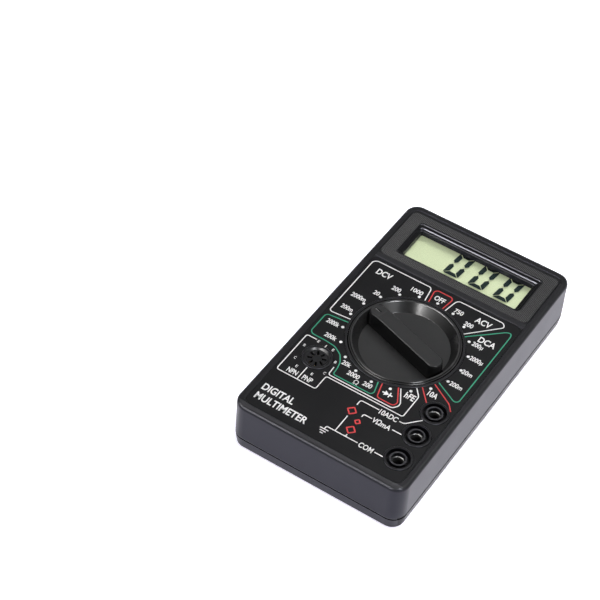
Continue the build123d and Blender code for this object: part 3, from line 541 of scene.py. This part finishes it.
# ------------------------------------------------------------------ mesh helpers
PRINT_THICKNESS = 0.02
PRINT_TOP = LABEL_Z + PRINT_THICKNESS
LINE_WIDTH = 0.39
LINE_CORNER = 1.0
CORNER_STEPS = 6
SAME_PLACE = 1e-6
WELD_DISTANCE = 1e-7
DOT_SIDES = 20
FONT_CAPITAL = 0.682
HALF_EXTRUSION = 0.5


def make_piece(name, mesh, material, body="housing"):
    """A new object that rides on a body, with the given material."""
    mesh.materials.append(material)
    piece = bpy.data.objects.new(name, mesh)
    bpy.context.scene.collection.objects.link(piece)
    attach(piece, body)
    return piece


def finished(bm, name):
    """The mesh of a bmesh, which is then freed."""
    bmesh.ops.recalc_face_normals(bm, faces=bm.faces)
    mesh = bpy.data.meshes.new(name)
    bm.to_mesh(mesh)
    bm.free()
    return mesh


def corner(bm, x, y, z):
    """A new corner of a mesh, in millimetres."""
    return bm.verts.new((x * MM, y * MM, z * MM))


def wall(bm, here, after):
    """Faces between two closed rings of corners, one to a side."""
    for i in range(len(here)):
        j = (i + 1) % len(here)
        bm.faces.new((here[i], here[j], after[j], after[i]))


def prism(bm, outline, low, high):
    """Adds a closed prism over a 2D outline in millimetres; the outline runs anticlockwise."""
    bottom = [corner(bm, x, y, low) for x, y in outline]
    top = [corner(bm, x, y, high) for x, y in outline]
    bm.faces.new(top)
    bm.faces.new(bottom[::-1])
    wall(bm, bottom, top)


def printed(bm, outline):
    """A filled shape printed on the label."""
    prism(bm, outline, LABEL_Z, PRINT_TOP)


def rectangle(left, low, right, high):
    """The corners of a rectangle, anticlockwise."""
    return [(left, low), (right, low), (right, high), (left, high)]


def polar(centre, radius, angle):
    """The point at a distance and an angle in radians from a centre."""
    return centre[0] + radius * math.cos(angle), centre[1] + radius * math.sin(angle)


def rounded_path(points, reach):
    """The points of a bent line with each inner corner turned into an arc-like curve."""
    points = [Vector(p) for p in points]
    path = [points[0]]
    for before, here, after in zip(points, points[1:], points[2:]):
        cut = min(reach, (here - before).length / 2, (after - here).length / 2)
        start = here + (before - here).normalized() * cut
        end = here + (after - here).normalized() * cut
        for i in range(CORNER_STEPS + 1):
            t = i / CORNER_STEPS
            path.append(start * (1 - t) ** 2 + here * 2 * t * (1 - t) + end * t**2)
    path.append(points[-1])
    return path


def ribbon(bm, points, width=LINE_WIDTH, reach=LINE_CORNER):
    """A printed line of even width along a path on the label, a closed ring if the path is one."""
    path = rounded_path(points, reach)
    closed = (path[-1] - path[0]).length < SAME_PLACE
    edges = []
    for i, here in enumerate(path):
        before = path[max(i - 1, 0)]
        after = path[min(i + 1, len(path) - 1)]
        along = (after - before).normalized()
        side = Vector((-along.y, along.x)) * width / 2
        edges.append((here + side, here - side))
    if closed:
        edges.pop()
    rows = [
        [
            corner(bm, *left, PRINT_TOP),
            corner(bm, *right, PRINT_TOP),
            corner(bm, *right, LABEL_Z),
            corner(bm, *left, LABEL_Z),
        ]
        for left, right in edges
    ]
    for one, two in zip(rows, rows[1:] + rows[:1] if closed else rows[1:]):
        wall(bm, one, two)
    if not closed:
        bm.faces.new(rows[0])
        bm.faces.new(rows[-1][::-1])


def text_mesh(text, centre, width, height, weight):
    """One printed word of a given width, its capitals at the given height, centred on a point."""
    curve = bpy.data.curves.new("word", "FONT")
    curve.body = text
    curve.size = 1.0
    curve.offset = weight
    curve.extrude = HALF_EXTRUSION
    curve.resolution_u = 5
    word = bpy.data.objects.new("word", curve)
    bpy.context.scene.collection.objects.link(word)
    bpy.context.view_layer.update()
    evaluated = word.evaluated_get(bpy.context.evaluated_depsgraph_get())
    mesh = bpy.data.meshes.new_from_object(evaluated)
    bpy.data.objects.remove(word)
    bpy.data.curves.remove(curve)
    co = np.array([v.co for v in mesh.vertices]).reshape(-1, 3)
    left, right = co[:, 0].min(), co[:, 0].max()
    x = (co[:, 0] - (left + right) / 2) * width / (right - left) + centre[0]
    y = (co[:, 1] / FONT_CAPITAL - 0.5) * height + centre[1]
    z = (co[:, 2] + HALF_EXTRUSION) * PRINT_THICKNESS + LABEL_Z
    mesh.vertices.foreach_set("co", (np.stack([x, y, z], 1) * MM).ravel())
    return mesh


def joined(meshes, name):
    """One mesh made of many, with shared corners welded."""
    bm = bmesh.new()
    for mesh in meshes:
        bm.from_mesh(mesh)
        bpy.data.meshes.remove(mesh)
    bmesh.ops.remove_doubles(bm, verts=bm.verts, dist=WELD_DISTANCE)
    return finished(bm, name)


# ------------------------------------------------------------------ printing on the label
DOT_CIRCLE = 23.6
DOT_RADIUS = 0.58
DETENT_ANGLE = 18
# Range names clockwise from the top, each with its offset from its dot and its width. The diode
# range has a symbol in place of a name.
RANGES = [
    ("OFF", -0.3, 2.2, 4.3),
    ("750", 1.4, 2.0, 3.7),
    ("200", 1.0, 1.9, 3.6),
    ("200µ", 3.6, 0.1, 4.5),
    ("2000µ", 3.4, 0.1, 5.3),
    ("20m", 2.6, 0.0, 4.2),
    ("200m", 3.4, -0.1, 5.0),
    ("10A", 2.1, -2.1, 3.8),
    ("hFE", 1.1, -2.4, 3.9),
    None,
    ("200", -0.3, -2.1, 3.6),
    ("2000", 0.4, -2.2, 4.9),
    ("20k", 2.2, -2.5, 3.7),
    ("200k", -4.4, 0.1, 4.9),
    ("2000k", -4.0, -0.2, 5.2),
    ("200m", -2.7, 1.9, 4.9),
    ("2000m", -3.3, 1.8, 6.1),
    ("20", -2.2, 0.9, 2.4),
    ("200", -2.4, 1.7, 3.6),
    ("1000", -2.1, 2.0, 4.9),
]
DIODE_RANGE = RANGES.index(None)
RANGE_HEIGHT = 2.0
RANGE_WEIGHT = 0.02
TALL_NAMES = {"OFF": 2.3, "hFE": 2.7, "10A": 2.4}
# Words with their centres and widths, in groups of one height and weight of stroke.
GROUP_NAMES = [("DCV", (-24.0, 22.55), 6.4), ("ACV", (18.8, 22.9), 6.4), ("DCA", (24.8, 15.0), 6.9)]
SOCKET_NAMES = [
    ("10ADC", (13.3, -35.6), 7.3),
    ("VΩmA", (13.2, -40.3), 7.4),
    ("COM", (14.3, -52.5), 5.6),
    ("NPN", (-25.7, -38.1), 4.2),
    ("PNP", (-19.3, -38.1), 4.0),
]
PIN_WIDTH = 0.8
PIN_NAMES = [
    (letter, (SOCKET.x + dx, SOCKET.y + dy), PIN_WIDTH)
    for letter, dx, dy in (
        ("E", -3.7, 6.9),
        ("E", 2.9, 6.4),
        ("B", -6.9, 2.4),
        ("B", 6.7, 2.0),
        ("C", -6.4, -4.6),
        ("C", 6.3, -4.7),
        ("E", -3.7, -7.7),
        ("E", 2.9, -7.7),
    )
]
TITLE = [("DIGITAL", (-23.8, -49.9), 13.2), ("MULTIMETER", (-19.6, -54.7), 21.6)]
WORD_GROUPS = [
    (GROUP_NAMES, 2.7, 0.022),
    ([("Ω", (-4.3, -29.3), 1.9)], 1.9, 0.0),
    (SOCKET_NAMES, 2.2, 0.018),
    (PIN_NAMES, 1.15, 0.01),
    (TITLE, 3.0, 0.02),
]

GROUND_PLACE = (-2.0, -53.9)
GROUND_STEP = 1.0
GROUND_WIDTHS = (3.4, 2.4, 1.2)
WHITE_LINES = [
    [
        (-22.1, -4.5), (-30.2, -5.3), (-31.1, -4.6), (-31.1, 25.8), (-29.8, 27.0), (-6.4, 27.0),
        (-5.6, 26.0), (-4.7, 19.9),
    ],
    [(4.1, 19.9), (5.2, 26.0), (6.2, 27.1), (25.0, 27.1), (26.3, 25.3), (15.6, 13.8)],
    [
        (-26.8, -20.2), (-31.1, -20.2), (-31.1, -40.3), (-14.5, -40.3), (-14.5, -33.1),
        (17.6, -33.1), (17.6, -22.0), (14.6, -18.5),
    ],
    [(-14.6, -27.8), (-14.4, -31.9), (12.4, -31.9), (13.9, -29.8), (13.8, -28.4), (10.3, -22.3)],
    [(-22.4, -33.5), (-22.4, -40.2)],
    [(17.7, -35.6), (19.6, -35.6), (24.2, -30.4)],
    [(17.6, -40.3), (21.4, -40.3)],
    [(17.8, -52.5), (21.2, -52.5)],
    [(9.2, -35.3), (1.5, -35.3), (1.5, -37.9)],
    [(9.2, -40.2), (5.8, -40.2), (5.8, -41.6)],
    [(1.5, -44.1), (1.5, -52.2)],
    [(10.8, -52.4), (-2.0, -52.4), (-2.0, -53.8)],
    [(5.8, -51.2), (5.8, -52.3)],
    [(-22.4, -20.4), (-22.4, -21.7)],
    *[
        [
            (GROUND_PLACE[0] - width / 2, GROUND_PLACE[1] - GROUND_STEP * row),
            (GROUND_PLACE[0] + width / 2, GROUND_PLACE[1] - GROUND_STEP * row),
        ]
        for row, width in enumerate(GROUND_WIDTHS)
    ],
]
RED_LINES = [
    [(-3.2, 20.1), (-4.1, 26.0), (-3.2, 27.1), (2.9, 27.1), (3.7, 26.0), (2.8, 20.1)],
    [(19.0, -13.3), (28.2, -18.6), (30.3, -21.3)],
    [(16.3, -17.3), (21.2, -22.7)],
    [(3.6, -23.8), (4.4, -27.2), (5.4, -30.7), (12.0, -30.7), (12.9, -29.0), (9.2, -22.1)],
]
GREEN_LINES = [
    [
        (16.5, 12.8), (28.2, 23.8), (29.8, 24.2), (30.4, 22.9), (30.4, -15.6), (29.0, -16.6),
        (19.8, -11.8),
    ],
    [
        (-22.0, -6.3), (-30.3, -7.2), (-31.0, -8.2), (-31.0, -17.6), (-29.7, -18.7),
        (-24.0, -18.7), (-19.6, -19.2), (-16.0, -21.4), (-14.0, -24.6), (-13.3, -27.6),
        (-13.1, -30.8), (2.7, -30.8), (3.5, -29.6), (2.0, -24.1),
    ],
]

# The diode symbol is drawn round its middle: an arrowhead, a bar and a wire at each end, each as
# left, right and half its height.
DIODE_OFFSET = (0.5, -2.7)
DIODE_HEAD = [(-1.2, -1.2), (0.6, 0.0), (-1.2, 1.2)]
DIODE_BARS = [(0.6, 1.05, 1.2), (-2.1, -1.2, 0.26), (1.05, 2.0, 0.26)]
# The hollow diamonds, each by its middle and how far its corners reach.
DIAMONDS = [(1.5, -41.2, 1.8), (5.8, -44.4, 1.1), (5.8, -48.8, 1.8)]
DIAMOND_LINE = 0.5
DIAMOND_CORNER = 0.2


def dial_point(index):
    """The place of a switch position; 0 is at the top and they count clockwise."""
    return Vector(polar(DIAL, DOT_CIRCLE, math.radians(90 - DETENT_ANGLE * index)))


def print_words():
    """Range names, group names, socket names and the name of the instrument, in white."""
    words = []
    for index, entry in enumerate(RANGES):
        if entry:
            text, dx, dy, width = entry
            centre = dial_point(index) + Vector((dx, dy))
            height = TALL_NAMES.get(text, RANGE_HEIGHT)
            words.append(text_mesh(text, centre, width, height, RANGE_WEIGHT))
    for group, height, weight in WORD_GROUPS:
        for text, centre, width in group:
            words.append(text_mesh(text, centre, width, height, weight))
    make_piece("printed_words", joined(words, "printed_words"), WHITE_INK)


def print_dots():
    """The dot of each switch position."""
    bm = bmesh.new()
    for index in range(len(RANGES)):
        centre = dial_point(index)
        turns = [2 * math.pi * i / DOT_SIDES for i in range(DOT_SIDES)]
        printed(bm, [polar(centre, DOT_RADIUS, angle) for angle in turns])
    make_piece("range_dots", finished(bm, "range_dots"), WHITE_INK)


def print_lines():
    """The lines that enclose each group of ranges, and the leaders to the plug sockets."""
    for name, lines, material in (
        ("white_lines", WHITE_LINES, WHITE_INK),
        ("red_lines", RED_LINES, RED_INK),
        ("green_lines", GREEN_LINES, GREEN_INK),
    ):
        bm = bmesh.new()
        for points in lines:
            ribbon(bm, points)
        make_piece(name, finished(bm, name), material)


def print_symbols():
    """The diode symbol in its own range, and plain red marks on the leaders."""
    x, y = dial_point(DIODE_RANGE) + Vector(DIODE_OFFSET)
    bm = bmesh.new()
    printed(bm, [(x + dx, y + dy) for dx, dy in DIODE_HEAD])
    for left, right, half in DIODE_BARS:
        printed(bm, rectangle(x + left, y - half, x + right, y + half))
    make_piece("diode_symbol", finished(bm, "diode_symbol"), WHITE_INK)
    bm = bmesh.new()
    for x, y, size in DIAMONDS:
        start = (x + size / 2, y - size / 2)
        corners = [(x + size, y), (x, y + size), (x - size, y), (x, y - size)]
        ribbon(bm, [start, *corners, start], DIAMOND_LINE, DIAMOND_CORNER)
    make_piece("red_marks", finished(bm, "red_marks"), RED_INK)


# ------------------------------------------------------------------ display
DIGIT_WIDTH = 6.6
DIGIT_HEIGHT = 12.75
DIGIT_PITCH = 10.85
DIGIT_COUNT = 3
DIGIT_SLANT = 0.10
DIGITS_X = -8.75
DIGITS_Y = 40.45
BAR = 1.95
GAP = 0.17
TIP = 1.0
CLIP = 0.6
WAIST_GAP = 0.7
SEGMENT_DEPTH = 0.9
SEGMENT_THICKNESS = 0.05


def zero_bars():
    """The outlines of the six lit bars of a zero, anticlockwise, from its lower left corner."""
    width, height = DIGIT_WIDTH, DIGIT_HEIGHT
    waist = (height - WAIST_GAP) / 2
    bottom = [
        (GAP + CLIP / 2, CLIP / 2),
        (GAP + CLIP, 0),
        (width - GAP - CLIP, 0),
        (width - GAP - CLIP / 2, CLIP / 2),
        (width - GAP - BAR, BAR - GAP),
        (GAP + BAR, BAR - GAP),
    ]
    left = [
        (0, GAP + CLIP),
        (CLIP / 2, GAP + CLIP / 2),
        (BAR, GAP + BAR),
        (BAR, waist - TIP),
        (BAR / 2, waist),
        (0, waist - TIP),
    ]
    right = [(width - x, y) for x, y in left][::-1]
    lower = [bottom, left, right]
    upper = [[(x, height - y) for x, y in bar][::-1] for bar in lower]
    return lower + upper


def make_digits():
    """Slanted zeros inside the display glass."""
    z = GLASS_Z - SEGMENT_DEPTH
    bm = bmesh.new()
    for digit in range(DIGIT_COUNT):
        start = DIGITS_X + DIGIT_PITCH * digit
        for outline in zero_bars():
            placed = [(start + x + DIGIT_SLANT * y, DIGITS_Y + y) for x, y in outline]
            prism(bm, placed, z - SEGMENT_THICKNESS, z)
    mesh = finished(bm, "display_segments")
    make_piece("display_segments", mesh, SEGMENT)


# ------------------------------------------------------------------ plug socket rims, pointer line
RIM_OUTER = 2.5
RIM_INNER = 2.07
RIM_SLOPE = 0.15
RIM_LOW = 19.95
RIM_HIGH = 20.6
RIM_SIDES = 64
RIM_PROFILE = [
    (RIM_OUTER, RIM_LOW),
    (RIM_OUTER, RIM_HIGH),
    (RIM_INNER + RIM_SLOPE, RIM_HIGH),
    (RIM_INNER, RIM_HIGH - RIM_SLOPE),
    (RIM_INNER, RIM_LOW),
]
POINTER_RADIUS = 15.6
POINTER_ANGLE = 162.0
POINTER_LENGTH = 2.9
POINTER_WIDTH = 0.5
POINTER_LOW = 25.2
POINTER_HIGH = 25.32


def make_rims():
    """The bright mouth of each plug sleeve."""
    bm = bmesh.new()
    for jack in JACKS:
        rings = []
        for i in range(RIM_SIDES):
            angle = 2 * math.pi * i / RIM_SIDES
            rings.append([corner(bm, *polar(jack, radius, angle), z) for radius, z in RIM_PROFILE])
        for here, after in zip(rings, rings[1:] + rings[:1]):
            wall(bm, here, after)
    make_piece("jack_rims", finished(bm, "jack_rims"), RIM)


def make_pointer():
    """A pale line in the groove at the pointer end of the grip."""
    turn = Matrix.Rotation(math.radians(POINTER_ANGLE), 2)
    half_length, half_width = POINTER_LENGTH / 2, POINTER_WIDTH / 2
    corners = rectangle(-half_length, -half_width, half_length, half_width)
    outline = [turn @ (Vector(c) + Vector((POINTER_RADIUS, 0))) + DIAL for c in corners]
    bm = bmesh.new()
    prism(bm, outline, POINTER_LOW, POINTER_HIGH)
    make_piece("pointer_line", finished(bm, "pointer_line"), POINTER, "selector")


# ------------------------------------------------------------------ textured display panel
PANEL_PITCH = 0.6
PANEL_RELIEF = 0.26
PANEL_BASE = 22.35
PANEL_SKIN = 0.01
PANEL_UNDER = -0.03
PANEL_HALF_WIDTH = 32.0
PANEL_BOTTOM = 31.7
PANEL_TOP = 58.5
PANEL_CORNER = 2.2
WINDOW_HALF_WIDTH = 27.0
WINDOW_BOTTOM = 35.3
WINDOW_TOP = 55.25
WINDOW_CORNER = 1.5


def within(x, y, half_width, low, high, radius):
    """Whether a point lies in a rectangle with round corners."""
    dx = max(abs(x) - half_width + radius, 0)
    dy = max(low + radius - y, y - high + radius, 0)
    return math.hypot(dx, dy) < radius


def on_panel(x, y):
    """Whether a point lies on the panel and outside the window."""
    if within(x, y, WINDOW_HALF_WIDTH, WINDOW_BOTTOM, WINDOW_TOP, WINDOW_CORNER):
        return False
    return within(x, y, PANEL_HALF_WIDTH, PANEL_BOTTOM, PANEL_TOP, PANEL_CORNER)


def make_panel():
    """A closed sheet of small moulded pyramids in rows, left open at the window."""
    step = PANEL_PITCH / 2
    columns = int(2 * PANEL_HALF_WIDTH / step)
    rows = int((PANEL_TOP - PANEL_BOTTOM) / step)
    bm = bmesh.new()
    verts = {}

    def vert(i, j, top):
        key = (i, j, top)
        if key not in verts:
            peak = PANEL_RELIEF if top and i % 2 and j % 2 else 0
            z = PANEL_BASE + (PANEL_SKIN + peak if top else PANEL_UNDER)
            verts[key] = corner(bm, -PANEL_HALF_WIDTH + i * step, PANEL_BOTTOM + j * step, z)
        return verts[key]

    cells = {
        (i, j)
        for i in range(columns)
        for j in range(rows)
        if on_panel(-PANEL_HALF_WIDTH + (i + 0.5) * step, PANEL_BOTTOM + (j + 0.5) * step)
    }
    for i, j in cells:
        ring = rectangle(i, j, i + 1, j + 1)
        peak = next(k for k, (a, b) in enumerate(ring) if a % 2 and b % 2)
        turned = ring[peak:] + ring[:peak]
        top = [vert(a, b, True) for a, b in turned]
        bottom = [vert(a, b, False) for a, b in turned]
        bm.faces.new(top[:3])
        bm.faces.new((top[0], top[2], top[3]))
        bm.faces.new(bottom[::-1])
        neighbours = [(i, j - 1), (i + 1, j), (i, j + 1), (i - 1, j)]
        for neighbour, a, b in zip(neighbours, ring, ring[1:] + ring[:1]):
            if neighbour not in cells:
                bm.faces.new((vert(*a, False), vert(*b, False), vert(*b, True), vert(*a, True)))
    mesh = finished(bm, "textured_panel")
    make_piece("textured_panel", mesh, PANEL)


print_words()
print_dots()
print_lines()
print_symbols()
make_digits()
make_rims()
make_pointer()
make_panel()

# ------------------------------------------------------------------ floor, light and camera
CAMERA_AZIMUTH = 30.0
CAMERA_ELEVATION = 46.9
CAMERA_ROLL = -4.4
CAMERA_DISTANCE = 0.7017
CAMERA_LENS = 113.3
CAMERA_NEAR = 0.01
CAMERA_AIM = Vector((-0.0427, -0.0072, 0.022))
FLOOR_SIZE = 6.0
FLOOR_Z = -0.0001
FLOOR_COLOUR = (0.86, 0.86, 0.86)
FLOOR_GLOW_COLOUR = (0.93, 0.90, 1.05)
FLOOR_GLOW = 0.72
BACKDROP = (0.93, 0.93, 0.93)
BACKDROP_STRENGTH = 1.0
OVERHEAD = (0.92, 0.94, 1.0)
OVERHEAD_STRENGTH = 0.15
LIGHT_DISTANCE = 1.3
# Name, direction from the meter, width, height, power, colour, whether it lights matt surfaces.
LIGHTS = [
    ("key", (0.28, 0.36, 1.0), 0.8, 0.8, 17.0, WHITE, True),
    ("fill", (-0.22, -0.30, 1.0), 0.5, 0.5, 3.0, WHITE, True),
    ("front_strip", (-0.40, -0.69, 0.575), 1.7, 0.20, 107.0, (1.0, 0.99, 0.98), False),
    ("camera_side", (0.64, -0.40, 0.65), 0.34, 0.34, 42.0, (0.95, 0.97, 1.0), False),
    ("right_strip", (0.84, -0.40, 0.34), 0.6, 0.15, 1.0, WHITE, True),
]


def make_floor():
    """A pale floor just under the meter, with a glow that keeps the shadow faint."""
    material = plastic("pale_floor", FLOOR_COLOUR, 0.8, mottle=0.01)
    shader = next(n for n in material.node_tree.nodes if n.type == "BSDF_PRINCIPLED")
    shader.inputs["Emission Color"].default_value = rgba(FLOOR_GLOW_COLOUR)
    shader.inputs["Emission Strength"].default_value = FLOOR_GLOW
    mesh = bpy.data.meshes.new("floor")
    half = FLOOR_SIZE / 2
    corners = [(x, y, FLOOR_Z) for x, y in rectangle(-half, -half, half, half)]
    mesh.from_pydata(corners, [], [(0, 1, 2, 3)])
    mesh.materials.append(material)
    floor = bpy.data.objects.new("floor", mesh)
    bpy.context.scene.collection.objects.link(floor)


def make_world():
    """Pale behind the object, dimmer overhead for what the plastic reflects."""
    world = bpy.data.worlds.new("studio")
    world.use_nodes = True
    bpy.context.scene.world = world
    n = Nodes(world.node_tree)
    out = n.add("ShaderNodeOutputWorld")
    seen = n.add("ShaderNodeBackground", Color=rgba(BACKDROP), Strength=BACKDROP_STRENGTH)
    around = n.add("ShaderNodeBackground", Color=rgba(OVERHEAD), Strength=OVERHEAD_STRENGTH)
    path = n.add("ShaderNodeLightPath")
    mix = n.add("ShaderNodeMixShader")
    n.join(path.outputs["Is Camera Ray"], mix.inputs["Fac"])
    n.join(around.outputs["Background"], mix.inputs[1])
    n.join(seen.outputs["Background"], mix.inputs[2])
    n.join(mix.outputs["Shader"], out.inputs["Surface"])


def softbox(name, direction, width, height, power, colour, diffuse):
    """A rectangular light that faces the meter; without diffuse, only reflections show it."""
    light = bpy.data.lights.new(name, "AREA")
    light.shape = "RECTANGLE"
    light.size = width
    light.size_y = height
    light.energy = power
    light.color = colour
    lamp = bpy.data.objects.new(name, light)
    bpy.context.scene.collection.objects.link(lamp)
    place = Vector(direction).normalized() * LIGHT_DISTANCE
    lamp.location = place
    lamp.rotation_euler = place.to_track_quat("Z", "Y").to_euler()
    lamp.visible_diffuse = diffuse


def make_camera():
    """The photograph's camera, rolled slightly about its line of sight."""
    azimuth = math.radians(CAMERA_AZIMUTH)
    elevation = math.radians(CAMERA_ELEVATION)
    roll = math.radians(CAMERA_ROLL)
    forward = Vector((
        -math.sin(azimuth) * math.cos(elevation),
        math.cos(azimuth) * math.cos(elevation),
        -math.sin(elevation),
    ))
    right = forward.cross(Vector((0, 0, 1))).normalized()
    up = right.cross(forward)
    tilted_up = up * math.cos(roll) + right * math.sin(roll)
    tilted_right = forward.cross(tilted_up)
    data = bpy.data.cameras.new("camera")
    data.lens = CAMERA_LENS
    data.clip_start = CAMERA_NEAR
    camera = bpy.data.objects.new("camera", data)
    turn = Matrix((tilted_right, tilted_up, -forward)).transposed().to_4x4()
    camera.matrix_world = Matrix.Translation(CAMERA_AIM - forward * CAMERA_DISTANCE) @ turn
    bpy.context.scene.collection.objects.link(camera)
    bpy.context.scene.camera = camera


make_floor()
make_world()
for light in LIGHTS:
    softbox(*light)
make_camera()
bpy.context.scene.view_settings.view_transform = "Standard"
